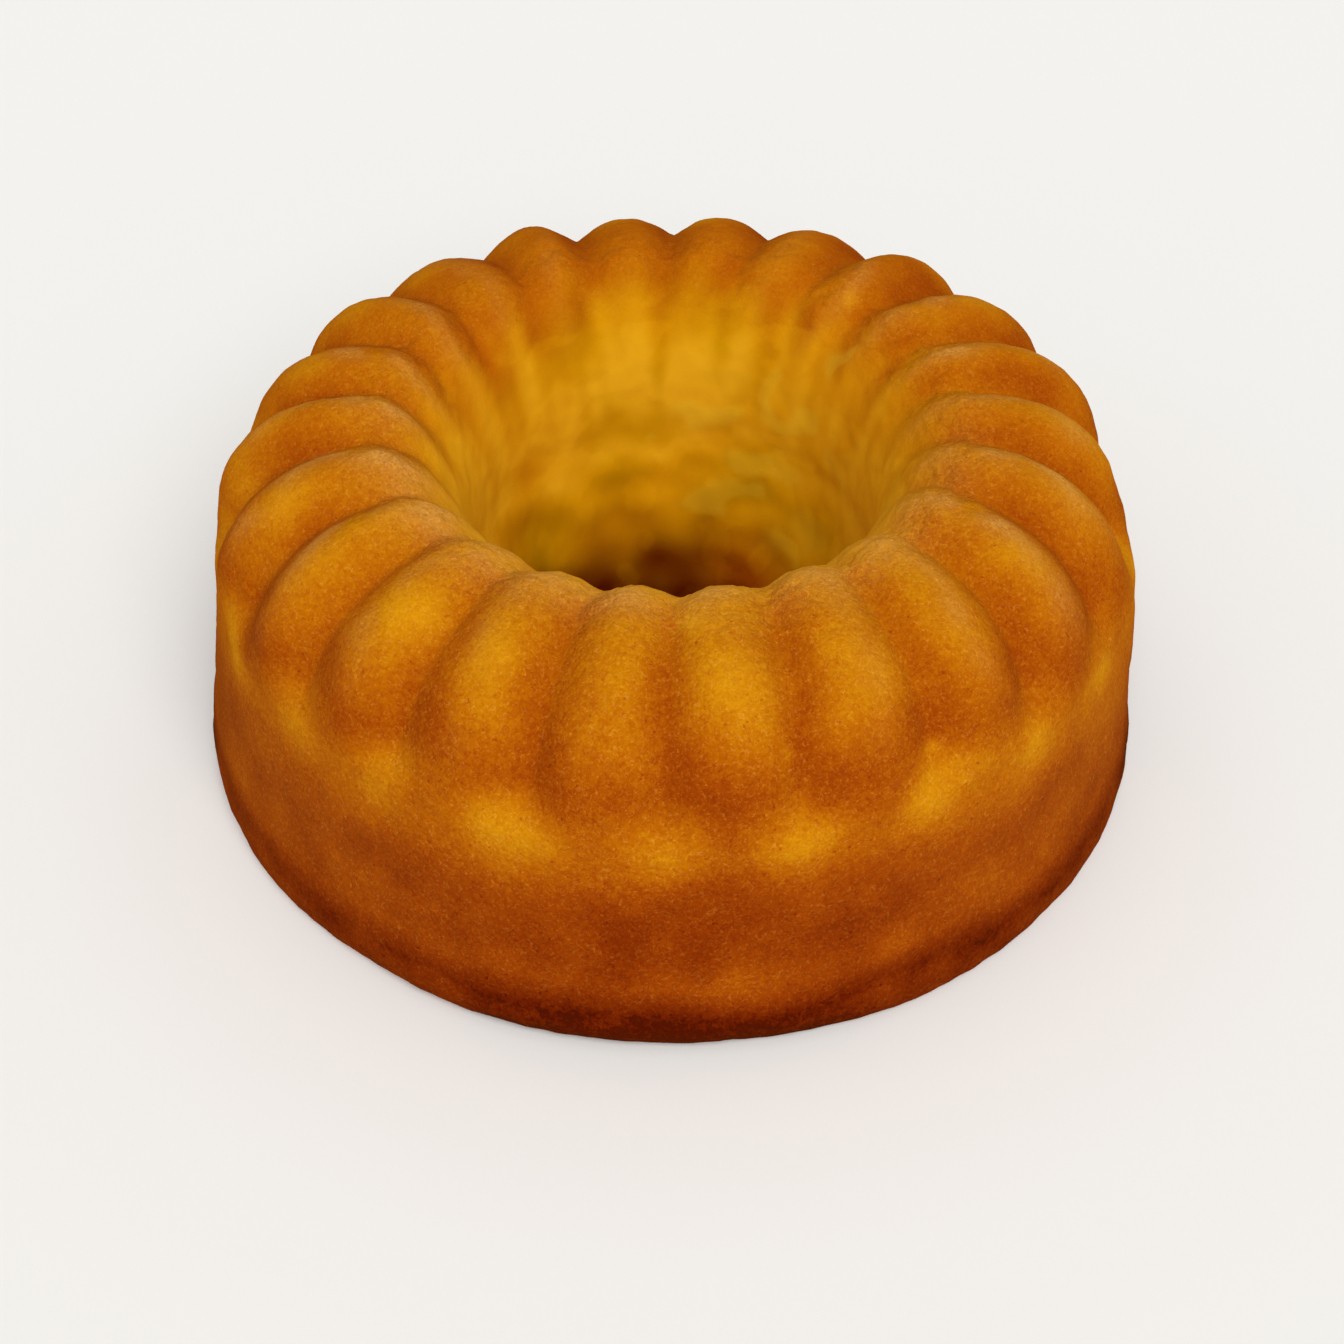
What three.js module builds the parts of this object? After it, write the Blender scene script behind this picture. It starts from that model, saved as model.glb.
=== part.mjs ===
// A kugelhopf: one tall ring cake, turned out of a fluted pan with a swirl.
// Millimetres, +Z up. The origin is the centre of the flat underside.
import * as THREE from "three";

// The profile, from the underside up the outer wall, over the crown and down the hole
const BASE_RADIUS = 118;
const HEIGHT = 94.4;
const CROWN_RADIUS = 71.4;
const SHOULDER_RADIUS = 111.3;
const SHOULDER_HEIGHT = 56.2;
const INNER_SHOULDER_RADIUS = 48.3;
const INNER_SHOULDER_HEIGHT = 51.2;
const HOLE_RADIUS = 32.7;
const EDGE_ROUNDING = 7.5; // height of the rounded lower edge
const EDGE_SETBACK = 0.8; // how far the underside stays inside that edge
// Stretches where it stays farther inside: millimetres, middle and half length in degrees
const SOFT_EDGES = [[4.6, -8, 34], [3, 200, 30]];
const OUTER_FULLNESS = 0.937; // of the arc from crown to shoulder: 1 is an ellipse, less is fuller
const INNER_FULLNESS = 1.022;
const WALL_CURVE = 1.2; // 1 leans in a straight line, more is upright at the shoulder
const HOLE_CURVE = 1.3;

// The lobes and the grooves between them
const LOBES = 22;
const GROOVE_DEPTH = 5.9;
const GROOVE_END_HEIGHT = 56.8; // on the outer wall, smooth below this
const GROOVE_FADE = 14.2; // height over which a groove runs out there
const GROOVE_INNER_START = -18; // path from the crown, below 0 outside, where a groove gets shallower
const GROOVE_INNER_END = 36; // where it has run out in the hole
const LOBE_ARCH = 0.924; // 1 is a sine arch, less has a flatter top and a sharper groove
const LOBE_TIP_ARCH = 1.7; // where a groove runs out it widens, and leaves a rounded lobe tip
const FIRST_GROOVE_DEG = 0.6; // from the front, anticlockwise from above
const OUTER_SWIRL_DEG = 0.025; // turn per millimetre of path outwards from the crown
const INNER_SWIRL_DEG = 0.16; // turn per millimetre of path into the hole, as far as the grooves go

// How uneven the baked lobes are, and the number of each one's series of draws
const GROOVE_SHIFT_DEG = 0.8;
const DEPTH_SPREAD = 0.12;
const END_SPREAD = 2.2;
const SWELL = 1.3;
const SWELL_ARCH = 4; // 1 swells a lobe over its whole width, more only along its middle
const SHIFT_DRAW = 1678;
const DEPTH_DRAW = 3;
const END_DRAW = 2;
const SWELL_DRAW = 2412;
const WALL_WAVES = [[0.5, 3, 0.8], [0.35, 5, 2.6], [0.25, 8, 4.1]]; // millimetres, waves around, turn
// A swell and a dent of the side: millimetres, middle and half length in degrees, height, half height
const SIDE_SWELLS = [[2.1, 79, 11, 48, 22], [-1.3, 92, 6.5, 69, 9]];

// The lattice
const EDGE_ROWS = [0, 0.5, 1]; // share of the way up the rounded lower edge
const COLUMNS_PER_LOBE = 8;
const WALL_ROWS = [0.3, 0.62, 0.85, 1]; // share of the way from the lower edge to the shoulder
const OUTER_ARC_ROWS = 9;
const INNER_ARC_ROWS = 8;
const HOLE_ROWS = [0.25, 0.5, 0.75]; // share of the way down from the inner shoulder

const CRUST_COLOUR = 0xc27a1a;

// A repeatable draw between -1 and 1 for one groove or lobe
function draw(index, series) {
  const wave = Math.sin((index % LOBES) * 12.9898 + series * 78.233) * 43758.5453;
  return 2 * (wave - Math.floor(wave)) - 1;
}

function mix(a, b, share) {
  return a + (b - a) * share;
}

function smoothStep(value) {
  const t = Math.min(Math.max(value, 0), 1);
  return t * t * (3 - 2 * t);
}

function outerArc(share) {
  const angle = (share * Math.PI) / 2;
  const radius = mix(CROWN_RADIUS, SHOULDER_RADIUS, Math.cos(angle) ** OUTER_FULLNESS);
  const height = mix(SHOULDER_HEIGHT, HEIGHT, Math.sin(angle) ** OUTER_FULLNESS);
  return [radius, height];
}

function innerArc(share) {
  const angle = (share * Math.PI) / 2;
  const radius = mix(CROWN_RADIUS, INNER_SHOULDER_RADIUS, Math.sin(angle) ** INNER_FULLNESS);
  const height = mix(INNER_SHOULDER_HEIGHT, HEIGHT, Math.cos(angle) ** INNER_FULLNESS);
  return [radius, height];
}

// Rows of the profile from the underside's outer edge to the hole's foot, each with its radius and
// height, whether it is outside, and its share of the lower edge's setback
function profileRows() {
  const rows = [];
  const add = (radius, height, outside, edge = 0) => rows.push({ radius, height, outside, edge });
  for (const share of EDGE_ROWS) {
    const swing = (share * Math.PI) / 2;
    const edge = 1 - Math.sin(swing);
    add(BASE_RADIUS - EDGE_SETBACK * edge, EDGE_ROUNDING * (1 - Math.cos(swing)), true, edge);
  }
  for (const share of WALL_ROWS) {
    const radius = mix(SHOULDER_RADIUS, BASE_RADIUS, (1 - share) ** WALL_CURVE);
    add(radius, mix(EDGE_ROUNDING, SHOULDER_HEIGHT, share), true);
  }
  for (let i = 1; i <= OUTER_ARC_ROWS; i += 1) {
    add(...outerArc(i / OUTER_ARC_ROWS), true);
  }
  for (let i = 1; i <= INNER_ARC_ROWS; i += 1) {
    add(...innerArc(i / INNER_ARC_ROWS), false);
  }
  for (const share of HOLE_ROWS) {
    const radius = mix(INNER_SHOULDER_RADIUS, HOLE_RADIUS, share ** HOLE_CURVE);
    add(radius, mix(INNER_SHOULDER_HEIGHT, 0, share), false);
  }
  add(HOLE_RADIUS, 0, false);
  return rows;
}

// Adds to each row its outward normal and its path from the crown, below 0 outside
function describeRows(rows) {
  const crown = rows.findIndex((row) => row.height === HEIGHT);
  rows.forEach((row, i) => {
    const before = rows[Math.max(i - 1, 0)];
    const after = rows[Math.min(i + 1, rows.length - 1)];
    const along = new THREE.Vector2(after.radius - before.radius, after.height - before.height);
    along.normalize();
    row.normal = [along.y, -along.x];
    row.path = i < crown ? -pathBetween(rows, i, crown) : pathBetween(rows, crown, i);
  });
  return rows;
}

function pathBetween(rows, first, last) {
  let length = 0;
  for (let i = first; i < last; i += 1) {
    const rise = rows[i + 1].height - rows[i].height;
    length += Math.hypot(rows[i + 1].radius - rows[i].radius, rise);
  }
  return length;
}

// How much of the full groove is left on a row, from 1 down to 0 where it has run out
function grooveShare(row, endHeight) {
  const outer = row.outside ? smoothStep((row.height - endHeight) / GROOVE_FADE) : 1;
  const runIn = (row.path - GROOVE_INNER_START) / (GROOVE_INNER_END - GROOVE_INNER_START);
  return outer * (1 - smoothStep(runIn));
}

// Turn of the grooves from where they cross the crown, in degrees
function swirl(row) {
  if (row.outside) {
    return OUTER_SWIRL_DEG * row.path;
  }
  return INNER_SWIRL_DEG * Math.min(row.path, GROOVE_INNER_END);
}

// How far the wall stands out of round at an angle in radians
function wallWave(angle) {
  return WALL_WAVES.reduce((sum, [size, waves, turn]) => sum + size * Math.sin(waves * angle + turn), 0);
}

// Degrees from a middle, between -180 and 180, of an angle in radians
function degreesFrom(middle, angle) {
  return THREE.MathUtils.euclideanModulo(THREE.MathUtils.radToDeg(angle) - middle + 180, 360) - 180;
}

// A bell of height 1 where the distance is 0
function bump(distance, size) {
  return Math.exp(-((distance / size) ** 2));
}

// How much farther in the underside is at an angle in radians, where the lower edge is rounder
function softEdge(angle) {
  return SOFT_EDGES.reduce((sum, [more, middle, length]) => {
    return sum + more * bump(degreesFrom(middle, angle), length);
  }, 0);
}

// How far the side stands out, or in below 0, at an angle in radians and a height
function sideSwell(angle, height) {
  return SIDE_SWELLS.reduce((sum, [size, middle, length, level, tall]) => {
    return sum + size * bump(degreesFrom(middle, angle), length) * bump(height - level, tall);
  }, 0);
}

// The point of a row at a share, 0 to 1, across the lobe that follows a groove
function surfacePoint(row, groove, share) {
  const blend = smoothStep(share);
  const between = (series) => mix(draw(groove, series), draw(groove + 1, series), blend);
  const turn = (groove + share) * (360 / LOBES) + FIRST_GROOVE_DEG + swirl(row);
  const azimuth = THREE.MathUtils.degToRad(turn + GROOVE_SHIFT_DEG * between(SHIFT_DRAW));
  const lobed = grooveShare(row, GROOVE_END_HEIGHT + END_SPREAD * between(END_DRAW));
  const arch = Math.sin(Math.PI * share) ** mix(LOBE_TIP_ARCH, LOBE_ARCH, lobed);
  const depth = GROOVE_DEPTH * (1 + DEPTH_SPREAD * between(DEPTH_DRAW)) * (1 - arch);
  const offset = lobed * (SWELL * draw(groove, SWELL_DRAW) * arch ** SWELL_ARCH - depth);
  const grounded = row.height === 0;
  const radius = row.radius + (grounded ? Math.sign(row.normal[0]) : row.normal[0]) * offset;
  const height = grounded ? 0 : row.height + row.normal[1] * offset;
  const wave = wallWave(azimuth) * (1 - row.height / HEIGHT) + sideSwell(azimuth, row.height);
  const outward = (row.outside ? wave : 0) - row.edge * softEdge(azimuth);
  const angle = azimuth - Math.PI / 2;
  return [(radius + outward) * Math.cos(angle), (radius + outward) * Math.sin(angle), height];
}

// The closed ring: every row goes once around, and the last row joins the first across the underside
function ringGeometry() {
  const rows = describeRows(profileRows());
  const columns = LOBES * COLUMNS_PER_LOBE;
  const positions = [];
  const faces = [];
  rows.forEach((row) => {
    for (let column = 0; column < columns; column += 1) {
      const groove = Math.floor(column / COLUMNS_PER_LOBE);
      const share = (column % COLUMNS_PER_LOBE) / COLUMNS_PER_LOBE;
      positions.push(...surfacePoint(row, groove, share));
    }
  });
  rows.forEach((row, i) => {
    const here = i * columns;
    const above = ((i + 1) % rows.length) * columns;
    for (let column = 0; column < columns; column += 1) {
      const next = (column + 1) % columns;
      faces.push(here + column, here + next, above + next);
      faces.push(here + column, above + next, above + column);
    }
  });
  const geometry = new THREE.BufferGeometry();
  geometry.setAttribute("position", new THREE.Float32BufferAttribute(positions, 3));
  geometry.setIndex(faces);
  geometry.computeVertexNormals();
  return geometry;
}

function cake() {
  const crust = new THREE.MeshStandardMaterial({ color: CRUST_COLOUR, roughness: 0.6, metalness: 0 });
  const mesh = new THREE.Mesh(ringGeometry(), crust);
  mesh.name = "cake";
  return mesh;
}

const kugelhopf = new THREE.Group();
kugelhopf.add(cake());

export default kugelhopf;
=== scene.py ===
import math

import bpy
import numpy as np
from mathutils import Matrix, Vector, noise


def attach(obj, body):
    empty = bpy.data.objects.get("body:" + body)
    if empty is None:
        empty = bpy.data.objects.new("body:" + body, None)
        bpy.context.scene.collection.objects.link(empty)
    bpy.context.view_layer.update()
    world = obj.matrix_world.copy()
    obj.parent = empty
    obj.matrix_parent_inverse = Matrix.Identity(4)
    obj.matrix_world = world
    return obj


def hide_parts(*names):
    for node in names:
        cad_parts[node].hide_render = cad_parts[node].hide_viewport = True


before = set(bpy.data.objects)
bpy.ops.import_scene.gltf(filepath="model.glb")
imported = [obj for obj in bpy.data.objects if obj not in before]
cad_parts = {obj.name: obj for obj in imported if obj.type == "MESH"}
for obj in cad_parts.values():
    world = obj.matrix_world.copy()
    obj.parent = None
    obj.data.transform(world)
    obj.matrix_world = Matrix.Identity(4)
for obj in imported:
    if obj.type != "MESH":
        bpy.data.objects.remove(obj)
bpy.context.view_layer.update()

# Metres for each unit of the profile, which is in millimetres as the frame's source is
MM = 0.001

# The profile, from the underside up the outer wall, over the crown and down the hole
BASE_RADIUS = 118
HEIGHT = 94.4
CROWN_RADIUS = 71.4
SHOULDER_RADIUS = 111.3
SHOULDER_HEIGHT = 56.2
INNER_SHOULDER_RADIUS = 48.3
INNER_SHOULDER_HEIGHT = 51.2
HOLE_RADIUS = 32.7
EDGE_ROUNDING = 7.5
EDGE_SETBACK = 0.8
# Stretches where the underside stays farther inside: millimetres, middle and half length in degrees
SOFT_EDGES = ((4.6, -8, 34), (3, 200, 30))
# Of the arcs from the crown to the shoulders: 1 is an ellipse, less is fuller
OUTER_FULLNESS = 0.937
INNER_FULLNESS = 1.022
# Of the walls: 1 leans in a straight line, more is upright at the shoulder
WALL_CURVE = 1.2
HOLE_CURVE = 1.3

# The lobes and the grooves between them. A path is the way from the crown along the profile in
# millimetres, below 0 outside.
LOBES = 22
GROOVE_DEPTH = 5.9
GROOVE_END_HEIGHT = 56.8
GROOVE_FADE = 14.2
GROOVE_INNER_START = -18
GROOVE_INNER_END = 36
# 1 is a sine arch and less has a flatter top. More, where a groove runs out, leaves a rounded lobe tip.
LOBE_ARCH = 0.924
LOBE_TIP_ARCH = 1.7
VALLEY_ROUNDING = 0.1
FIRST_GROOVE_DEG = 0.6
# Turn for each millimetre of path
OUTER_SWIRL_DEG = 0.025
INNER_SWIRL_DEG = 0.16

# How uneven the baked lobes are, and the number of each one's series of draws
GROOVE_SHIFT_DEG = 0.8
DEPTH_SPREAD = 0.12
END_SPREAD = 2.2
SWELL = 1.3
SWELL_ARCH = 4
SHIFT_DRAW = 1678
DEPTH_DRAW = 3
END_DRAW = 2
SWELL_DRAW = 2412
# The step from one draw to the next and from one series to the next, and the factor that scatters them
DRAW_STEP = 12.9898
SERIES_STEP = 78.233
DRAW_FACTOR = 43758.5453
# How far the wall is out of round: millimetres, waves around the cake, and turn in radians
WALL_WAVES = ((0.5, 3, 0.8), (0.35, 5, 2.6), (0.25, 8, 4.1))
# A swell and a dent of the side: millimetres, middle and half length in degrees, height, half height
SIDE_SWELLS = ((2.1, 79, 11, 48, 22), (-1.3, 92, 6.5, 69, 9))

# The lattice, under 200 000 triangles, with closer rows by the crest
COLUMNS_PER_LOBE = 22
PATH_ROWS = 190
UNDERSIDE_ROWS = 8
CREST_ROWS = 0.7
CREST_ROWS_WIDTH = 20
PROFILE_STEPS = 90
SPACING_STEPS = 2000

# Relief of the crust: how high in millimetres, and how long its bumps are
RELIEF = ((0.26, 24), (0.24, 9), (0.26, 3.8))
CRUMB_RELIEF = ((0.32, 5), (0.45, 2.7))
CRUMB_PATH = 4
CRUMB_WIDTH = 15
CRUMB_RAISE = 0.3
CRUMB_CRACKS = 2

# In the values of the crust's colour, a BAND is a middle and a width, and a RISE a start and a length.
# They are along the path, unless a comment says otherwise or the name ends in FRONT_RISE, for the
# cosine of the azimuth, or in DEG_BAND or DEG_RISE, for degrees from the front. A DRAW is a middle, a
# spread and the number of a series of draws, and a NOISE ends with its seed.

# Noises that make the colours uneven, by the length of their features in millimetres
BROAD_NOISE = (26, 3.1)
MIDDLE_NOISE = (10, 7.7)
TURN_NOISE = (17, 11.3)
FINE_NOISE = (5, 4.7)
# How far they move the colours along the path, and around the cake in lobes
BROAD_SHIFT = 4
MIDDLE_SHIFT = 2
TURN_SHIFT = 0.18
# How far they move the veins and marbling of the hole along the path
MIDDLE_TILT = 5
FINE_TILT = 2.5

# Browning along the path: 0 is pale and 1 is darkest
BROWNING = (
    (-117, 0.86),
    (-112, 0.86),
    (-108, 0.93),
    (-104, 0.8),
    (-100, 0.68),
    (-84, 0.68),
    (-72, 0.58),
    (-62, 0.52),
    (-47, 0.57),
    (-34, 0.44),
    (-22, 0.43),
    (-4, 0.39),
    (10, 0.37),
    (20, 0.28),
    (32, 0.15),
    (44, 0.12),
    (52, 0.17),
    (60, 0.24),
    (76, 0.41),
    (88, 0.76),
    (98, 0.97),
)
# The wall, counted outwards from the crown, is browner and paler in waves around the cake
WALL_RISE = (64, 14)
WALL_BAKE = 0.04
WALL_BAKE_WAVES = 3
# The crown is paler at the front and browner at the back
CROWN_BAND = (-8, 28)
CROWN_BAKE = 0.05
# How far the noises change the browning, and how much more on the wall
BROAD_BAKE = 0.06
BROAD_WALL_BAKE = 0.05
MIDDLE_BAKE = 0.06
MIDDLE_WALL_BAKE = 0.04

# Patches of the wall browner, or paler below 0: turn around the cake in degrees, path, their two
# sizes and the change. Each one comes again on the opposite side. The first is painted shadow along the
# foot.
WALL_PATCHES = (
    # Painted contact shadow along the foot at the front, and by the mirroring at the back
    (0, -117, 24, 6, 0.18),
    (8, -99, 7, 7, -0.17),
    (25, -98, 4, 4, -0.1),
    (43, -99, 5, 5, -0.08),
    (52, -77, 4, 4, 0.08),
    (5, -72, 5, 5, 0.06),
    (4, -42, 4, 6, 0.05),
    (37, -51, 4, 5, 0.06),
    (34, -103, 9, 8, 0.07),
    (42, -92, 8, 7, -0.07),
    (76, -100, 17, 11, 0.1),
    (3, -79, 8, 8, 0.1),
    (60, -82, 10, 8, -0.1),
    (74, -66, 10, 9, -0.07),
    (78, -49, 9, 9, -0.16),
    (94, -40, 8, 9, -0.14),
)

# The same for the hole, but each one only once
HOLE_PATCHES = (
    (113, 68, 16, 13, -0.2),
    (133, 80, 10, 8, -0.17),
    (145, 77, 12, 6, -0.04),
    (156, 16, 6, 10, 0.06),
    (149, 29, 5, 6, 0.07),
    (121, 56, 9, 6, 0.05),
    (150, 67, 8, 5, 0.04),
    (131, 83, 7, 6, -0.12),
    (137, 43, 9, 9, 0.09),
)

# Paler, yellower marbling of the hole: the same with a share in place of the change
HOLE_MARBLING = (
    (118, 47, 9, 5, 0.22),
    (133, 23, 6, 5, 0.26),
    (144, 43, 8, 5, 0.28),
    (152, 37, 7, 5, 0.24),
    (143, 58, 10, 4.5, 0.22),
    (157, 61, 11, 5, 0.28),
    (165, 71, 9, 5, 0.24),
    (173, 48, 10, 5, 0.32),
    (125, 70, 9, 7, 0.17),
    (137, 79, 10, 5, 0.22),
)
# Of a patch's bell, so that its edge is firmer
MARBLING_RISE = (0.25, 0.45)
# How far the middle noise moves the marbling around the cake
MARBLING_WANDER_DEG = 16

# Small pale spots where the crust is torn: turn around the cake in degrees, path and their two sizes
TORN_SPOTS = (
    (137, 6.5, 1.8, 2.5),
    (3, -4.3, 2.2, 2.5),
    (13.7, -39.7, 0.9, 2.6),
    (32.4, -48.7, 1.2, 2),
)
TORN_PALE = 0.15

# Darker grooves: how dark along the path, and where across, in lobes from the groove
GROOVE_BROWN = 0.13
GROOVE_BROWN_ALONG = ((-50, 0), (-38, 1.1), (-26, 1.1), (-8, 0.9), (10, 0.7), (36, 0))
GROOVE_BROWN_SHIFT = 0.08
GROOVE_SPREAD = 0.21
# How much that shift changes towards the sides, and where, counted outwards from the crown
GROOVE_SIDE_SHIFT = 0.13
GROOVE_SIDE_RISE = (28, 12)

# A pale patch on each lobe. A size is across, in lobes, and along the path.
LOBE_PATCH_DRAW = (0.08, 0.04, 6)
LOBE_PATCH_PATH_DRAW = (-23, 3, 5)
LOBE_PATCH_SIZE = (0.2, 8)
LOBE_PATCH_PALE = 0.1
LOBE_PATCH_PALE_DRAW = (0.8, 0.6, 46)

# A pale blotch where each groove ends, a fainter halo between two blotches, and browner lobe tips
BLOTCH_PATH = -60.5
BLOTCH_DRAW = (0, 0.04, 9)
BLOTCH_PATH_DRAW = (BLOTCH_PATH, 1.5, 8)
BLOTCH_SIZE = (0.25, 9)
BLOTCH_PALE = 0.21
BLOTCH_PALE_DRAW = (0.9, 0.25, 31)
HALO_SIZE = (0.4, 10)
HALO_PALE = 0.05
HALO_PALE_DRAW = (0.6, 1, 23)
TIP_PATH = -50
TIP_SHIFT = -0.08
TIP_SIZE = (0.26, 6)
TIP_BROWN = 0.05
TIP_BROWN_DRAW = (1, 1, 39)

# The hole, and the radius that its noises are wrapped around. They have a length across and one along
# the path.
HOLE_NOISE_RADIUS = 48
HOLE_START_RISE = (6, 14)
HOLE_DEEP_RISE = (42, 16)
# Pale veins, by how high their noise is
VEIN_NOISE = (11, 7, 8.1)
VEIN_RISE = (0.12, 0.15)
VEIN_PALE = 0.06
# A golden stretch, its width in degrees to each side of the back
GOLD_BACK_WIDTH = 40
GOLD_BAND = (36, 16)
GOLD_PALE = 0.12
# Streaks in the upper part, stronger at the back, and blots in the lower part
STREAK_NOISE = (5, 34, 2.9)
STREAK_BAKE = 0.13
STREAK_BACK_BAKE = 0.13
STREAK_DEG_RISE = (105, 30)
BLOT_NOISE = (13, 8, 5.3)
BLOT_BAKE = 0.24
# A paler front, browner sides, and towards the back painted light and shade: one paler, lit half and one
# browner, shaded half of each lobe
FRONT_HOLE_PALE = 0.3
FRONT_HOLE_FRONT_RISE = (-0.55, 0.6)
FRONT_HOLE_BAND = (54, 30)
FRONT_HOLE_RISE = (-2, 12)
SIDE_HOLE_BROWN = 0.08
SIDE_HOLE_DEG_BAND = (122, 18)
SIDE_HOLE_BAND = (34, 20)
HOLE_LOBE_PAINTED_LIGHT = 0.08
HOLE_LOBE_DEG_RISE = (120, 20)
HOLE_LOBE_BAND = (26, 16)

# Painted light on the near rim of the hole, where it faces the light from the front: paler, with the
# painted sheen's tan, and farther in towards the sides
RIM_PATH = 10
RIM_SIDE_PATH = 30
RIM_WIDTH = 18
RIM_FRONT_RISE = (0.1, 0.4)
RIM_RISE = (-3, 12)
RIM_PAINTED_LIGHT = 0.13
RIM_SHEEN = 0.12

# Where the hole's yellower colours start, later at the front and the sides, and how fast they take over
OLIVE_START = 16
OLIVE_FRONT_START = 14
OLIVE_SIDE_START = 16
OLIVE_LENGTH = 34
OLIVE_LEVEL = 0.85
OLIVE_UNEVEN = 0.8

# Painted sheen on the crest, a tan haze: how strong, how uneven, and its share in the grooves and the rest
# on the lobes
CREST_SHEEN = 0.44
CREST_SHEEN_UNEVEN = 0.5
CREST_SHEEN_BAND = (5, 8)
CREST_SHEEN_FRONT_RISE = (-0.3, 1.2)
CREST_SHEEN_GROOVE = 0.4
CREST_SHEEN_LOBE = 0.6
CREST_SHEEN_LOBE_WIDTH = 0.35

# Painted sheen at the sides, a tan haze on the far slopes of the lobes and on the wall. ACROSS is in lobes,
# along the path.
SIDE_SHEEN = 0.42
SIDE_SHEEN_UNEVEN = 2
SIDE_SHEEN_BAND = (-12, 24)
SIDE_SHEEN_ACROSS = ((-30, 0.08), (-12, 0.18), (0, 0.04), (12, -0.05))
SIDE_SHEEN_WIDTH = 0.15
SIDE_WALL_SHEEN = 0.055
SIDE_WALL_BAND = (-82, 20)

# How strong crumbs, pits and flecks are
GRAIN_HOLE_LOSS = 0.8
GRAIN_HOLE_RISE = (4, 26)
GRAIN_LEVEL = 0.72
GRAIN_FRONT = 0.28
GRAIN_CREST = 0.3
GRAIN_CREST_BAND = (2, 9)

# What the material takes on the underside
UNDERSIDE = {"browning": 0.9, "olive": 0, "sheen_tan": 0, "grain": 1, "marbling": 0}

# Crust colours by browning, and single colours, as screen values
CRUST_STOPS = (
    (0.0, (228, 164, 20)),
    (0.2, (214, 142, 11)),
    (0.32, (199, 124, 8)),
    (0.45, (182, 97, 5)),
    (0.6, (158, 68, 4)),
    (0.75, (135, 48, 3)),
    (0.93, (104, 26, 1)),
    (1.0, (78, 15, 1)),
)
HOLE_STOPS = (
    (0.0, (227, 168, 25)),
    (0.2, (205, 146, 6)),
    (0.35, (188, 132, 2)),
    (0.52, (165, 114, 1)),
    (0.7, (134, 88, 1)),
    (0.85, (105, 56, 1)),
    (1.0, (80, 20, 1)),
)
# The tan of the painted sheen
SHEEN_TAN = (211, 148, 66)
MARBLING = (226, 188, 44)
# Pale flecks, partly the crust's fibres and partly painted glints of crumbs
FLECK_AND_GLINT = (236, 162, 62)
FLOOR_COLOUR = (247, 246, 242)
BACKDROP_COLOUR = (243.3, 242.5, 238.4)

# Small marks of the crust. A TEXTURE is a length in millimetres, a detail and, in one, a roughness.
SPECKLE_TEXTURE = (2.6, 2)
SPECKLE_SHADE = 0.11
FINE_TEXTURE = (0.6, 1)
FINE_SHADE = 0.15
CRUMB_LENGTH = 0.9
CRUMB_SHADE = 0.08
PIT_TEXTURE = (1.5, 2)
PIT_LIMIT = 0.17
PIT_STEEPNESS = 12
PIT_SHADE = 0.14
# Crumbly breaks in the painted sheen's tan
SHEEN_TAN_TEXTURE = (0.9, 2)
SHEEN_TAN_LEVEL = 0.9
SHEEN_TAN_CRUMBLE = 3.0
# Flecks, partly pale fibres of the crust and partly painted glints of the crumbs
FLECK_LENGTHS = (1.2, 0.8)
FLECK_WIDTH = 0.055
FLECK_SHARE = 0.45
FLECK_BROWN_LOSS = 0.47
FLECK_SHEEN_GAIN = 0.5
THREAD_STEEPNESS = 1.5
THREAD_CUT_LENGTH = 0.8
THREAD_CUT_LIMIT = 0.06
THREAD_CUT_STEEPNESS = 12

# Bumps of the crust too small for the mesh, with their depth in millimetres
FINE_BUMP_TEXTURE = (0.9, 3, 0.7)
FINE_BUMP = 0.6
CRUMB_BUMP = 0.4
COARSE_BUMP_TEXTURE = (3.4, 2)
BUMP_STRENGTH = 0.6
BUMP_DEPTH = 0.6

# How the crust takes the light
CRUST_ROUGHNESS = 0.6
SHEEN = 0.02
SHEEN_ROUGHNESS = 0.6
SHEEN_TINT = (1, 0.75, 0.15)

# The floor and the backdrop, in metres
FLOOR_REACH = 20.0
FLOOR_ROUGHNESS = 0.9
BACKDROP_RADIUS = 12
BACKDROP_HEIGHT = 6
BACKDROP_SIDES = 96

# The light: an even white one from all around, and a soft key light with the direction it comes from
AMBIENT = 0.48
KEY_STRENGTH = 2.05
KEY_SOFTNESS_DEG = 45
KEY_FROM = (0.2, -1.0, 1.15)

# The camera: fitted to the photograph, in degrees and base radii, and its lens in millimetres
CAMERA_ELEVATION = 42.23
CAMERA_DISTANCE = 5.25
CAMERA_TARGET_HEIGHT = 0.076
CAMERA_LENS = 63.8


def mix(a, b, share):
    return a + (b - a) * share


def smooth_step(value):
    t = np.clip(value, 0, 1)
    return t * t * (3 - 2 * t)


def rise(value, start, length):
    """0 up to the start, and from there smoothly up to 1 over the length."""
    return smooth_step((value - start) / length)


def bump(value, centre, width):
    """A bell of height 1 at the centre."""
    return np.exp(-(((value - centre) / width) ** 2))


def along_steps(value, steps):
    """What a list of places and levels gives at a value, in straight lines between them."""
    places, levels = zip(*steps)
    return np.interp(value, places, levels)


def draw(index, series):
    """A repeatable draw between -1 and 1 for one groove or lobe."""
    wave = np.sin(np.mod(index, LOBES) * DRAW_STEP + series * SERIES_STEP) * DRAW_FACTOR
    return 2 * (wave - np.floor(wave)) - 1


def drawn(index, middle, spread, series):
    """A repeatable draw for one groove or lobe, as far as the spread from the middle."""
    return middle + spread * draw(index, series)


def turned_from(azimuth, middle_deg, circle=360):
    """Degrees around the cake from a middle, which comes again after each circle."""
    return np.mod(np.degrees(azimuth) - middle_deg + circle / 2, circle) - circle / 2


def uneven(points, length, seed):
    """Smooth noise around 0 with features about length long."""
    return np.array([noise.noise(Vector(point)) for point in points.reshape(-1, 3) / length + seed])


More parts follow.
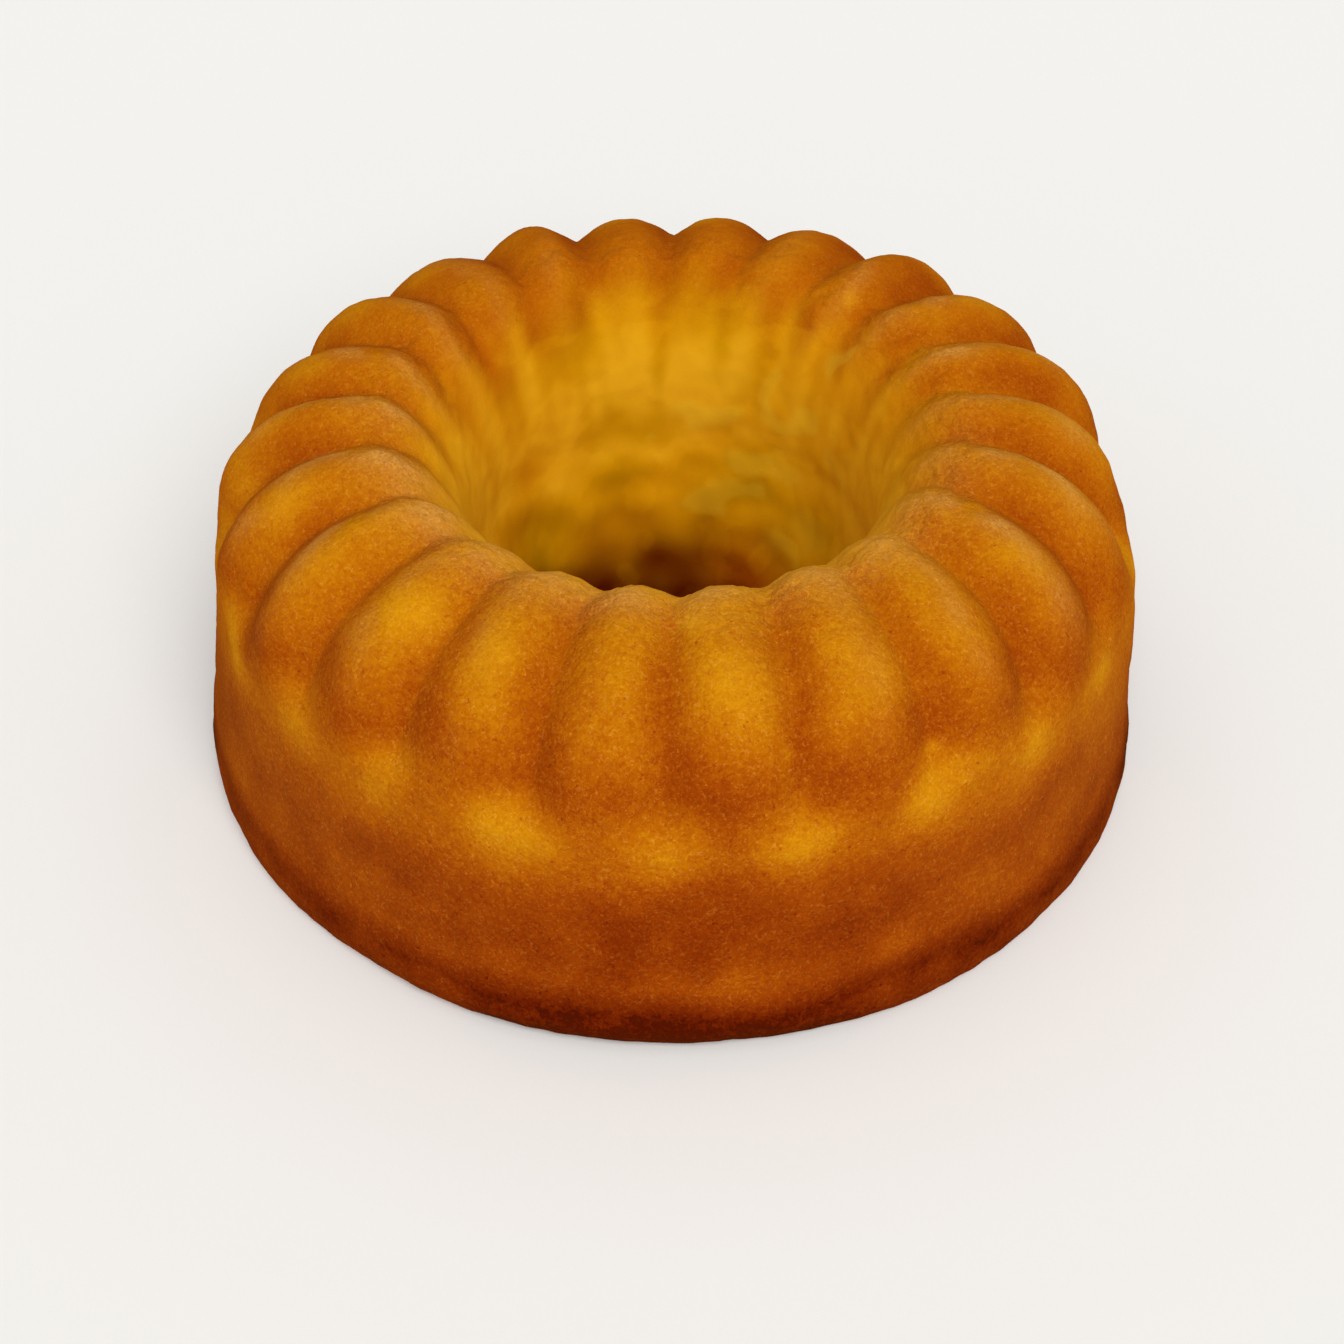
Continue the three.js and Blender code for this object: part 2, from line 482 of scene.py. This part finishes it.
def profile_curve():
    """Radius and height of the profile in fine steps, with each point's share of the lower setback."""
    fine = np.linspace(0, 1, PROFILE_STEPS)
    swing = fine * math.pi / 2
    edge = 1 - np.sin(swing)
    edge_radius = BASE_RADIUS - EDGE_SETBACK * edge
    edge_height = EDGE_ROUNDING * (1 - np.cos(swing))
    wall_radius = mix(SHOULDER_RADIUS, BASE_RADIUS, (1 - fine) ** WALL_CURVE)
    wall_height = mix(EDGE_ROUNDING, SHOULDER_HEIGHT, fine)
    outer_radius = mix(CROWN_RADIUS, SHOULDER_RADIUS, np.cos(swing) ** OUTER_FULLNESS)
    outer_height = mix(SHOULDER_HEIGHT, HEIGHT, np.sin(swing) ** OUTER_FULLNESS)
    inner_radius = mix(CROWN_RADIUS, INNER_SHOULDER_RADIUS, np.sin(swing) ** INNER_FULLNESS)
    inner_height = mix(INNER_SHOULDER_HEIGHT, HEIGHT, np.cos(swing) ** INNER_FULLNESS)
    hole_radius = mix(INNER_SHOULDER_RADIUS, HOLE_RADIUS, fine ** HOLE_CURVE)
    hole_height = mix(INNER_SHOULDER_HEIGHT, 0, fine)
    radius = np.concatenate([edge_radius, wall_radius, outer_radius, inner_radius, hole_radius])
    height = np.concatenate([edge_height, wall_height, outer_height, inner_height, hole_height])
    return radius, height, np.concatenate([edge, np.zeros(len(radius) - len(edge))])


def profile_rows():
    """Radius, height, the outward normal's two parts, path and setback share of each row."""
    radius, height, edge = profile_curve()
    steps = np.hypot(np.diff(radius), np.diff(height))
    along = np.concatenate([[0], np.cumsum(steps)])
    crown = along[np.argmax(height)]
    spaced = np.linspace(0, along[-1], SPACING_STEPS)
    crowded = np.cumsum(1 + CREST_ROWS * bump(spaced, crown + CRUMB_PATH, CREST_ROWS_WIDTH))
    crowded = (crowded - crowded[0]) / (crowded[-1] - crowded[0])
    place = np.interp(np.linspace(0, 1, PATH_ROWS), crowded, spaced)
    row_radius = np.interp(place, along, radius)
    row_height = np.interp(place, along, height)
    turn_radius = np.gradient(row_radius, place)
    turn_height = np.gradient(row_height, place)
    size = np.hypot(turn_radius, turn_height)
    row_edge = np.interp(place, along, edge)
    return row_radius, row_height, turn_height / size, -turn_radius / size, place - crown, row_edge


def column_values():
    """For each column the groove before it and the share of the way across its lobe."""
    column = np.arange(LOBES * COLUMNS_PER_LOBE)
    return column // COLUMNS_PER_LOBE, (column % COLUMNS_PER_LOBE) / COLUMNS_PER_LOBE


def between_grooves(groove, share, series):
    """The draw of the groove before, blended across the lobe into the next groove's."""
    return mix(draw(groove, series), draw(groove + 1, series), smooth_step(share))


def lobe_azimuth(groove, share, path):
    """Angle around the cake in radians, with the swirl and each groove's own shift."""
    inner_turn = INNER_SWIRL_DEG * np.minimum(path, GROOVE_INNER_END)
    swirl = np.where(path <= 0, OUTER_SWIRL_DEG * path, inner_turn)
    turn = (groove + share) * 360 / LOBES + FIRST_GROOVE_DEG + swirl
    return np.radians(turn + GROOVE_SHIFT_DEG * between_grooves(groove, share, SHIFT_DRAW))


def groove_left(groove, share, path, height):
    """How much of the full groove is left, from 1 down to 0 where it has run out."""
    end_height = GROOVE_END_HEIGHT + END_SPREAD * between_grooves(groove, share, END_DRAW)
    outer = np.where(path <= 0, rise(height, end_height, GROOVE_FADE), 1)
    return outer * (1 - rise(path, GROOVE_INNER_START, GROOVE_INNER_END - GROOVE_INNER_START))


def lobe_offset(groove, share, left):
    """How far the lobes stand out from the profile, below 0 in the grooves."""
    rounded = np.hypot(np.sin(math.pi * share), VALLEY_ROUNDING) / math.hypot(1, VALLEY_ROUNDING)
    arch = rounded ** mix(LOBE_TIP_ARCH, LOBE_ARCH, left)
    depth = GROOVE_DEPTH * (1 + DEPTH_SPREAD * between_grooves(groove, share, DEPTH_DRAW)) * (1 - arch)
    return left * (SWELL * draw(groove, SWELL_DRAW) * arch ** SWELL_ARCH - depth)


def side_offset(azimuth, path, height):
    """How far the outer side is out of round, and 0 in the hole."""
    waves = sum(size * np.sin(count * azimuth + turned) for size, count, turned in WALL_WAVES)
    swelled = 0
    for size, middle, length, level, tall in SIDE_SWELLS:
        swelled = swelled + size * bump(turned_from(azimuth, middle), 0, length) * bump(height, level, tall)
    return np.where(path <= 0, waves * (1 - height / HEIGHT) + swelled, 0)


def soft_edge(azimuth):
    """How much farther in the underside is, where the lower edge is rounder."""
    return sum(more * bump(turned_from(azimuth, middle), 0, length) for more, middle, length in SOFT_EDGES)


def lobed_surface():
    """Points, normals and their places on the crust, for each row and column."""
    radius, height, out_r, out_z, path, edge = [values[:, None] for values in profile_rows()]
    groove, share = [values[None, :] for values in column_values()]
    azimuth = lobe_azimuth(groove, share, path)
    offset = lobe_offset(groove, share, groove_left(groove, share, path, height))
    full_radius = radius + out_r * offset + side_offset(azimuth, path, height) - edge * soft_edge(azimuth)
    full_height = height + out_z * offset
    angle = azimuth - math.pi / 2
    points = np.stack([full_radius * np.cos(angle), full_radius * np.sin(angle), full_height], -1)
    flat = np.broadcast_to(out_z, azimuth.shape)
    normals = np.stack([out_r * np.cos(angle), out_r * np.sin(angle), flat], -1)
    turn = np.broadcast_to(groove + share, azimuth.shape)
    full_path = np.broadcast_to(path, azimuth.shape)
    return points, normals, {"turn": turn, "path": full_path, "azimuth": azimuth}


def relief(points, path):
    """Height of the crust's bumps at each point, in millimetres: crumbly where the crown meets the hole."""
    heights = np.zeros(len(points))
    for size, length in RELIEF:
        heights += size * uneven(points, length, size)
    crumbly = bump(path, CRUMB_PATH, CRUMB_WIDTH)
    for size, length in CRUMB_RELIEF:
        cracked = CRUMB_CRACKS * np.abs(uneven(points, length, size))
        heights += size * crumbly * (CRUMB_RAISE - cracked)
    return heights


class Skin:
    """Where each point of the crust is, and the noises that make its colour uneven."""

    def __init__(self, points, places):
        self.points = points
        self.path = places["path"]
        self.turn = places["turn"]
        self.azimuth = places["azimuth"]
        self.front = np.cos(self.azimuth)
        self.side = np.sin(self.azimuth)
        from_front = math.pi - np.abs(np.mod(self.azimuth, 2 * math.pi) - math.pi)
        self.from_front_deg = np.degrees(from_front)
        self.from_back_deg = np.degrees(math.pi - from_front)
        self.broad = self.field(*BROAD_NOISE)
        self.middle = self.field(*MIDDLE_NOISE)
        self.moved_path = self.path + BROAD_SHIFT * self.broad + MIDDLE_SHIFT * self.middle
        self.moved_turn = self.turn + TURN_SHIFT * self.field(*TURN_NOISE)
        self.tilted = self.path + MIDDLE_TILT * self.middle + FINE_TILT * self.field(*FINE_NOISE)
        # The number of the lobe and of the nearest groove, and how far their middles are in lobes
        self.lobe = np.floor(self.turn)
        self.groove = np.round(self.turn)
        self.across = self.moved_turn - self.lobe - 0.5
        self.from_groove = self.moved_turn - self.groove

    def field(self, length, seed):
        """Noise around 0 with features about length long."""
        return uneven(self.points, length, seed).reshape(self.turn.shape)

    def hole_field(self, path, across, along, seed):
        """Noise around 0 in the hole with features of different lengths across and along the path."""
        radius = HOLE_NOISE_RADIUS / across
        drum = np.stack([radius * self.front, radius * self.side, path / along], -1)
        return uneven(drum, 1, seed).reshape(self.turn.shape)

    def rim(self):
        """1 on the near rim of the hole, where light is painted, and 0 away from it."""
        rim_path = RIM_PATH + RIM_SIDE_PATH * (1 - self.front)
        near = rise(self.front, *RIM_FRONT_RISE)
        return near * bump(self.path, rim_path, RIM_WIDTH) * rise(self.path, *RIM_RISE)


def browned_bands(skin):
    """Browning along the path, uneven and with more on some sides."""
    wall = rise(-skin.path, *WALL_RISE)
    crown = bump(skin.path, *CROWN_BAND)
    brown = along_steps(skin.moved_path, BROWNING)
    brown = brown + WALL_BAKE * wall * np.cos(WALL_BAKE_WAVES * skin.azimuth)
    brown = brown - CROWN_BAKE * crown * skin.front
    brown = brown + (BROAD_WALL_BAKE * wall + BROAD_BAKE) * skin.broad
    return brown + (MIDDLE_WALL_BAKE * wall + MIDDLE_BAKE) * skin.middle


def with_patches(brown, skin):
    """The browning with the patches of the wall, again after half a turn, and of the hole."""
    for circle, patches in ((180, WALL_PATCHES), (360, HOLE_PATCHES)):
        for place, path, width, length, change in patches:
            around = bump(turned_from(skin.azimuth, place, circle), 0, width)
            brown = brown + change * around * bump(skin.moved_path, path, length)
    return brown


def with_grooves(brown, skin):
    """The browning with darker grooves, pale lobe patches, pale blotches and browner lobe tips."""
    dark = along_steps(skin.path, GROOVE_BROWN_ALONG)
    darkest = GROOVE_BROWN_SHIFT - GROOVE_SIDE_SHIFT * skin.side * rise(-skin.path, *GROOVE_SIDE_RISE)
    brown = brown + GROOVE_BROWN * dark * bump(skin.from_groove, darkest, GROOVE_SPREAD)
    patch = bump(skin.across, drawn(skin.lobe, *LOBE_PATCH_DRAW), LOBE_PATCH_SIZE[0])
    patch = patch * bump(skin.moved_path, drawn(skin.lobe, *LOBE_PATCH_PATH_DRAW), LOBE_PATCH_SIZE[1])
    brown = brown - LOBE_PATCH_PALE * drawn(skin.lobe, *LOBE_PATCH_PALE_DRAW) * patch
    blotch = bump(skin.from_groove, drawn(skin.groove, *BLOTCH_DRAW), BLOTCH_SIZE[0])
    blotch = blotch * bump(skin.moved_path, drawn(skin.groove, *BLOTCH_PATH_DRAW), BLOTCH_SIZE[1])
    brown = brown - BLOTCH_PALE * drawn(skin.groove, *BLOTCH_PALE_DRAW) * blotch
    halo = bump(skin.across, 0, HALO_SIZE[0]) * bump(skin.moved_path, BLOTCH_PATH, HALO_SIZE[1])
    brown = brown - HALO_PALE * drawn(skin.lobe, *HALO_PALE_DRAW) * halo
    tip = bump(skin.across, TIP_SHIFT, TIP_SIZE[0]) * bump(skin.path, TIP_PATH, TIP_SIZE[1])
    return brown + TIP_BROWN * drawn(skin.lobe, *TIP_BROWN_DRAW) * tip


def with_hole_marks(brown, skin):
    """The browning with the hole's veins, golden stretch, streaks and blots."""
    in_hole = rise(skin.path, *HOLE_START_RISE)
    deep = rise(skin.path, *HOLE_DEEP_RISE)
    veins = rise(skin.hole_field(skin.tilted, *VEIN_NOISE), *VEIN_RISE)
    brown = brown - VEIN_PALE * in_hole * veins
    gold = bump(skin.from_back_deg, 0, GOLD_BACK_WIDTH) * bump(skin.path, *GOLD_BAND)
    streaked = STREAK_BAKE + STREAK_BACK_BAKE * rise(skin.from_front_deg, *STREAK_DEG_RISE)
    streaks = streaked * (1 - deep) * skin.hole_field(skin.path, *STREAK_NOISE)
    blots = BLOT_BAKE * deep * skin.hole_field(skin.path, *BLOT_NOISE)
    return brown - GOLD_PALE * gold + in_hole * (streaks + blots)


def with_hole_sides(brown, skin):
    """The browning with the hole's paler front, painted light on its near rim, its browner sides and
    painted light and shade on its lobes' halves.
    """
    front = rise(skin.front, *FRONT_HOLE_FRONT_RISE) * bump(skin.path, *FRONT_HOLE_BAND)
    brown = brown - FRONT_HOLE_PALE * (front * rise(skin.path, *FRONT_HOLE_RISE))
    # Painted light on the near rim of the hole
    brown = brown - RIM_PAINTED_LIGHT * skin.rim()
    side = bump(skin.from_front_deg, *SIDE_HOLE_DEG_BAND) * bump(skin.path, *SIDE_HOLE_BAND)
    brown = brown + SIDE_HOLE_BROWN * side
    # Painted light and shade on the two halves of each lobe towards the back
    lobes = rise(skin.from_front_deg, *HOLE_LOBE_DEG_RISE) * bump(skin.path, *HOLE_LOBE_BAND)
    return brown - HOLE_LOBE_PAINTED_LIGHT * lobes * np.sin(2 * math.pi * skin.moved_turn)


def with_torn_spots(brown, skin):
    """The browning with the small spots where the crust is torn."""
    for place, path, width, length in TORN_SPOTS:
        around = bump(turned_from(skin.azimuth, place), 0, width)
        brown = brown - TORN_PALE * around * bump(skin.path, path, length)
    return brown


def marbling_share(skin):
    """How far the colour is that of the hole's marbling."""
    marbling = 0
    for place, path, width, length, share in HOLE_MARBLING:
        around = turned_from(skin.azimuth, place) + MARBLING_WANDER_DEG * skin.middle
        patch = bump(around, 0, width) * bump(skin.tilted, path, length)
        marbling = marbling + share * rise(patch, *MARBLING_RISE)
    return marbling


def olive_share(skin):
    """How far the colours are the hole's yellower ones."""
    start = OLIVE_START + OLIVE_FRONT_START * skin.front + OLIVE_SIDE_START * skin.side ** 2
    return rise(skin.path, start, OLIVE_LENGTH) * (OLIVE_LEVEL + OLIVE_UNEVEN * skin.broad)


def sheen_tan_share(skin):
    """How far the crust takes the painted sheen's tan, on crests, far slopes, side wall and rim."""
    sheen_tan = bump(skin.path, *CREST_SHEEN_BAND) * rise(skin.front, *CREST_SHEEN_FRONT_RISE)
    sheen_tan = sheen_tan * (CREST_SHEEN + CREST_SHEEN_UNEVEN * skin.middle)
    sheen_tan = sheen_tan * (CREST_SHEEN_GROOVE + CREST_SHEEN_LOBE * bump(skin.across, 0, CREST_SHEEN_LOBE_WIDTH))
    # Painted sheen on the far slope of each lobe at the sides
    far = bump(skin.across * np.sign(skin.side), along_steps(skin.path, SIDE_SHEEN_ACROSS), SIDE_SHEEN_WIDTH)
    far = far * skin.side ** 2 * bump(skin.path, *SIDE_SHEEN_BAND)
    sheen_tan = sheen_tan + SIDE_SHEEN * far * (1 + SIDE_SHEEN_UNEVEN * skin.middle)
    sheen_tan = sheen_tan + SIDE_WALL_SHEEN * skin.side ** 2 * bump(skin.path, *SIDE_WALL_BAND)
    # Painted sheen on the near rim of the hole
    return sheen_tan + RIM_SHEEN * skin.rim()


def grain_level(skin):
    """How strong crumbs, pits and flecks are: weaker in the hole and at the back, stronger on the crest."""
    grain = 1 - GRAIN_HOLE_LOSS * rise(skin.path, *GRAIN_HOLE_RISE)
    grain = grain * (GRAIN_LEVEL + GRAIN_FRONT * skin.front)
    return grain * (1 + GRAIN_CREST * bump(skin.path, *GRAIN_CREST_BAND))


def crust_values(points, places):
    """What the material takes at each point. Browning goes from 0, pale, to 1, dark."""
    skin = Skin(points, places)
    brown = with_patches(browned_bands(skin), skin)
    brown = with_grooves(brown, skin)
    brown = with_hole_marks(brown, skin)
    brown = with_hole_sides(brown, skin)
    brown = with_torn_spots(brown, skin)
    return {
        "browning": np.clip(brown, 0, 1),
        "olive": np.clip(olive_share(skin), 0, 1),
        "sheen_tan": np.clip(sheen_tan_share(skin), 0, 1),
        "grain": grain_level(skin),
        "marbling": np.clip(marbling_share(skin), 0, 1),
    }


def add_attribute(mesh, name, values):
    layer = mesh.attributes.new(name, "FLOAT", "POINT")
    layer.data.foreach_set("value", np.ascontiguousarray(values, dtype=np.float32).ravel())


def ring_faces(rows, columns):
    """Quads around the ring, where the last row joins the first."""
    row = np.arange(rows)[:, None] * columns
    next_row = (np.arange(rows)[:, None] + 1) % rows * columns
    column = np.arange(columns)[None, :]
    next_column = (column + 1) % columns
    quads = np.stack([row + column, row + next_column, next_row + next_column, next_row + column], -1)
    return quads.reshape(-1, 4).tolist()


def underside_points(foot, edge):
    """Rows of points across the underside, from the hole's foot out to the outer edge."""
    shares = [step / (UNDERSIDE_ROWS + 1) for step in range(1, UNDERSIDE_ROWS + 1)]
    return np.concatenate([mix(foot, edge, share) for share in shares])


def cake_mesh():
    points, normals, places = lobed_surface()
    rows, columns = points.shape[:2]
    bumps = relief(points.reshape(-1, 3), places["path"].ravel())
    crust = points.reshape(-1, 3) + normals.reshape(-1, 3) * bumps[:, None]
    crust[:, 2] = np.maximum(crust[:, 2], 0)
    crust[:columns, 2] = 0
    crust[-columns:, 2] = 0
    under = underside_points(crust[-columns:], crust[:columns])
    values = crust_values(crust.reshape(rows, columns, 3), places)
    mesh = bpy.data.meshes.new("cake_crust")
    vertices = np.concatenate([crust, under]) * MM
    mesh.from_pydata(vertices, [], ring_faces(rows + UNDERSIDE_ROWS, columns))
    mesh.update()
    mesh.shade_smooth()
    for name, level in UNDERSIDE.items():
        add_attribute(mesh, name, np.concatenate([values[name].ravel(), np.full(len(under), level)]))
    return mesh


def linear(colour):
    """A colour given as 0 to 255 screen values, as linear light by the usual screen curve."""
    shares = [value / 255 for value in colour]
    return [s / 12.92 if s <= 0.04045 else ((s + 0.055) / 1.055) ** 2.4 for s in shares]


class Nodes:
    """Short calls to build a material's node tree."""

    def __init__(self, name):
        self.material = bpy.data.materials.new(name)
        self.material.use_nodes = True
        self.tree = self.material.node_tree
        self.shader = self.tree.nodes["Principled BSDF"]
        self.place = self.tree.nodes.new("ShaderNodeTexCoord").outputs["Object"]

    def link(self, source, target):
        self.tree.links.new(source, target)

    def put(self, socket, value):
        if isinstance(value, bpy.types.NodeSocket):
            self.link(value, socket)
        else:
            socket.default_value = value

    def attribute(self, name):
        node = self.tree.nodes.new("ShaderNodeAttribute")
        node.attribute_name = name
        return node.outputs["Fac"]

    def math(self, operation, a, b=0.0, clamp=False):
        node = self.tree.nodes.new("ShaderNodeMath")
        node.operation = operation
        node.use_clamp = clamp
        self.put(node.inputs[0], a)
        self.put(node.inputs[1], b)
        return node.outputs[0]

    def noise(self, length_mm, detail, roughness=0.5):
        """Noise around 0 with features about length_mm long."""
        node = self.tree.nodes.new("ShaderNodeTexNoise")
        node.inputs["Scale"].default_value = 1 / (length_mm * MM)
        node.inputs["Detail"].default_value = detail
        node.inputs["Roughness"].default_value = roughness
        self.link(self.place, node.inputs["Vector"])
        return self.math("SUBTRACT", node.outputs["Fac"], 0.5)

    def above(self, value, limit, steepness):
        """0 where the value is under the limit, rising to 1 above it."""
        return self.math("MULTIPLY", self.math("SUBTRACT", value, limit), steepness, clamp=True)

    def threads(self, length_mm, width):
        """Short thin threads, 1 along some of the lines where a noise crosses 0."""
        line = self.math("ABSOLUTE", self.noise(length_mm, 0))
        line = self.math("SUBTRACT", width, line)
        cut = self.noise(THREAD_CUT_LENGTH * length_mm, 0)
        kept = self.above(cut, THREAD_CUT_LIMIT, THREAD_CUT_STEEPNESS)
        return self.math("MULTIPLY", self.above(line, 0, THREAD_STEEPNESS / width), kept)

    def crumbs(self, length_mm):
        """Grains about length_mm across: how near each one's middle, and a random shade around 0."""
        node = self.tree.nodes.new("ShaderNodeTexVoronoi")
        node.inputs["Scale"].default_value = 1 / (length_mm * MM)
        self.link(self.place, node.inputs["Vector"])
        split = self.tree.nodes.new("ShaderNodeSeparateColor")
        self.link(node.outputs["Color"], split.inputs["Color"])
        middle = self.math("SUBTRACT", 1.0, node.outputs["Distance"])
        return middle, self.math("SUBTRACT", split.outputs["Red"], 0.5)

    def ramp(self, value, stops):
        node = self.tree.nodes.new("ShaderNodeValToRGB")
        marks = node.color_ramp.elements
        while len(marks) < len(stops):
            marks.new(0.5)
        for mark, (place, colour) in zip(marks, stops):
            mark.position = place
            mark.color = (*linear(colour), 1)
        self.link(value, node.inputs["Fac"])
        return node.outputs["Color"]

    def blend(self, share, a, b):
        node = self.tree.nodes.new("ShaderNodeMix")
        node.data_type = "RGBA"
        self.put(node.inputs["Factor"], share)
        self.put(node.inputs["A"], a)
        self.put(node.inputs["B"], b)
        return node.outputs["Result"]

    def paint(self, share, under, colour):
        """The colour given as screen values, laid over another one by its share."""
        return self.blend(share, under, (*linear(colour), 1))

    def bump(self, height, strength, depth_mm):
        node = self.tree.nodes.new("ShaderNodeBump")
        node.inputs["Strength"].default_value = strength
        node.inputs["Distance"].default_value = depth_mm * MM
        self.link(height, node.inputs["Height"])
        return node.outputs["Normal"]


def small_marks(nodes, crumb_shade):
    """Change of the browning by speckles, crumbs and pits."""
    speckle = nodes.math("MULTIPLY", nodes.noise(*SPECKLE_TEXTURE), SPECKLE_SHADE)
    fine = nodes.math("MULTIPLY", nodes.noise(*FINE_TEXTURE), FINE_SHADE)
    marks = nodes.math("ADD", speckle, fine)
    marks = nodes.math("ADD", marks, nodes.math("MULTIPLY", crumb_shade, CRUMB_SHADE))
    pits = nodes.above(nodes.noise(*PIT_TEXTURE), PIT_LIMIT, PIT_STEEPNESS)
    return nodes.math("ADD", marks, nodes.math("MULTIPLY", pits, PIT_SHADE))


def fleck_and_glint_share(nodes, level, sheen_tan, grain):
    """Thin pale flecks, partly the crust's pale fibres and partly painted glints of crumbs, fewer where the
    crust is dark and more under the painted sheen.
    """
    threads = [nodes.threads(length, FLECK_WIDTH) for length in FLECK_LENGTHS]
    share = nodes.math("SUBTRACT", FLECK_SHARE, nodes.math("MULTIPLY", level, FLECK_BROWN_LOSS))
    share = nodes.math("ADD", share, nodes.math("MULTIPLY", sheen_tan, FLECK_SHEEN_GAIN))
    flecks = nodes.math("MULTIPLY", nodes.math("MAXIMUM", *threads), share)
    return nodes.math("MULTIPLY", flecks, grain)


def crust_colour(nodes, level, grain):
    sheen_tan = nodes.attribute("sheen_tan")
    outer = nodes.ramp(level, CRUST_STOPS)
    inner = nodes.ramp(level, HOLE_STOPS)
    colour = nodes.blend(nodes.attribute("olive"), outer, inner)
    colour = nodes.paint(nodes.attribute("marbling"), colour, MARBLING)
    # Painted sheen: its tan laid over the colour, broken up into crumbs
    crumble = nodes.math("MULTIPLY", nodes.noise(*SHEEN_TAN_TEXTURE), SHEEN_TAN_CRUMBLE)
    crumbly = nodes.math("ADD", SHEEN_TAN_LEVEL, crumble)
    colour = nodes.paint(nodes.math("MULTIPLY", sheen_tan, crumbly, clamp=True), colour, SHEEN_TAN)
    # Pale flecks, partly the crust's fibres and partly painted glints
    return nodes.paint(fleck_and_glint_share(nodes, level, sheen_tan, grain), colour, FLECK_AND_GLINT)


def crust_bumps(nodes, crumb_middle, grain):
    crumb = nodes.math("MULTIPLY", nodes.noise(*FINE_BUMP_TEXTURE), FINE_BUMP)
    crumb = nodes.math("ADD", crumb, nodes.math("MULTIPLY", crumb_middle, CRUMB_BUMP))
    crumb = nodes.math("ADD", crumb, nodes.noise(*COARSE_BUMP_TEXTURE))
    crumb = nodes.math("MULTIPLY", crumb, grain)
    return nodes.bump(crumb, BUMP_STRENGTH, BUMP_DEPTH)


def crust_material():
    nodes = Nodes("golden_crust")
    inputs = nodes.shader.inputs
    grain = nodes.attribute("grain")
    crumb_middle, crumb_shade = nodes.crumbs(CRUMB_LENGTH)
    marks = nodes.math("MULTIPLY", small_marks(nodes, crumb_shade), grain)
    level = nodes.math("ADD", nodes.attribute("browning"), marks)
    nodes.link(crust_colour(nodes, level, grain), inputs["Base Color"])
    nodes.link(crust_bumps(nodes, crumb_middle, grain), inputs["Normal"])
    inputs["Roughness"].default_value = CRUST_ROUGHNESS
    inputs["Specular IOR Level"].default_value = 0.0
    inputs["Sheen Weight"].default_value = SHEEN
    inputs["Sheen Roughness"].default_value = SHEEN_ROUGHNESS
    inputs["Sheen Tint"].default_value = (*SHEEN_TINT, 1)
    return nodes.material


def plain_material(name, colour):
    """A material of one colour without gloss, and its shader's inputs."""
    material = bpy.data.materials.new(name)
    material.use_nodes = True
    inputs = material.node_tree.nodes["Principled BSDF"].inputs
    inputs["Base Color"].default_value = (*linear(colour), 1)
    inputs["Specular IOR Level"].default_value = 0.0
    return material, inputs


def floor_material():
    material, inputs = plain_material("pale_floor", FLOOR_COLOUR)
    inputs["Roughness"].default_value = FLOOR_ROUGHNESS
    return material


def backdrop_material():
    """The lit floor's colour, given off by the wall itself."""
    material, inputs = plain_material("pale_backdrop", (0, 0, 0))
    inputs["Emission Color"].default_value = (*linear(BACKDROP_COLOUR), 1)
    inputs["Emission Strength"].default_value = 1.0
    return material


def add_object(name, data):
    thing = bpy.data.objects.new(name, data)
    bpy.context.scene.collection.objects.link(thing)
    return thing


def add_mesh(name, corners, faces, material):
    mesh = bpy.data.meshes.new(name)
    mesh.from_pydata(corners, [], faces)
    mesh.materials.append(material)
    return add_object(name, mesh)


def make_cake():
    mesh = cake_mesh()
    mesh.materials.append(crust_material())
    cake = add_object("cake_crust", mesh)
    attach(cake, "root")
    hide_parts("cake")


def make_floor():
    signs = ((-1, -1), (1, -1), (1, 1), (-1, 1))
    corners = [(x * FLOOR_REACH, y * FLOOR_REACH, 0) for x, y in signs]
    floor = add_mesh("floor", corners, [(0, 1, 2, 3)], floor_material())


def make_backdrop():
    """A round wall in the lit floor's colour. Only the camera sees it, so the light stays as it is."""
    turns = [2 * math.pi * side / BACKDROP_SIDES for side in range(BACKDROP_SIDES)]
    ring = [(BACKDROP_RADIUS * math.cos(turn), BACKDROP_RADIUS * math.sin(turn)) for turn in turns]
    corners = [(x, y, height) for height in (0, BACKDROP_HEIGHT) for x, y in ring]
    following = [(side, (side + 1) % BACKDROP_SIDES) for side in range(BACKDROP_SIDES)]
    faces = [(a, b, b + BACKDROP_SIDES, a + BACKDROP_SIDES) for a, b in following]
    backdrop = add_mesh("backdrop", corners, faces, backdrop_material())
    backdrop.visible_diffuse = False
    backdrop.visible_glossy = False
    backdrop.visible_transmission = False
    backdrop.visible_shadow = False


def make_light():
    world = bpy.data.worlds.new("studio")
    world.use_nodes = True
    background = world.node_tree.nodes["Background"]
    background.inputs["Color"].default_value = (1, 1, 1, 1)
    background.inputs["Strength"].default_value = AMBIENT
    bpy.context.scene.world = world
    light = bpy.data.lights.new("soft_key", "SUN")
    light.energy = KEY_STRENGTH
    light.angle = math.radians(KEY_SOFTNESS_DEG)
    lamp = add_object("soft_key", light)
    lamp.rotation_euler = Vector(KEY_FROM).to_track_quat("Z", "Y").to_euler()
    bpy.context.scene.view_settings.view_transform = "Standard"


def make_camera():
    elevation = math.radians(CAMERA_ELEVATION)
    radius = BASE_RADIUS * MM
    target = Vector((0, 0, CAMERA_TARGET_HEIGHT * radius))
    back = Vector((0, -math.cos(elevation), math.sin(elevation)))
    data = bpy.data.cameras.new("camera")
    data.lens = CAMERA_LENS
    camera = add_object("camera", data)
    camera.location = target + back * CAMERA_DISTANCE * radius
    camera.rotation_euler = (-back).to_track_quat("-Z", "Y").to_euler()
    bpy.context.scene.camera = camera


make_camera()
make_light()
make_floor()
make_backdrop()
make_cake()
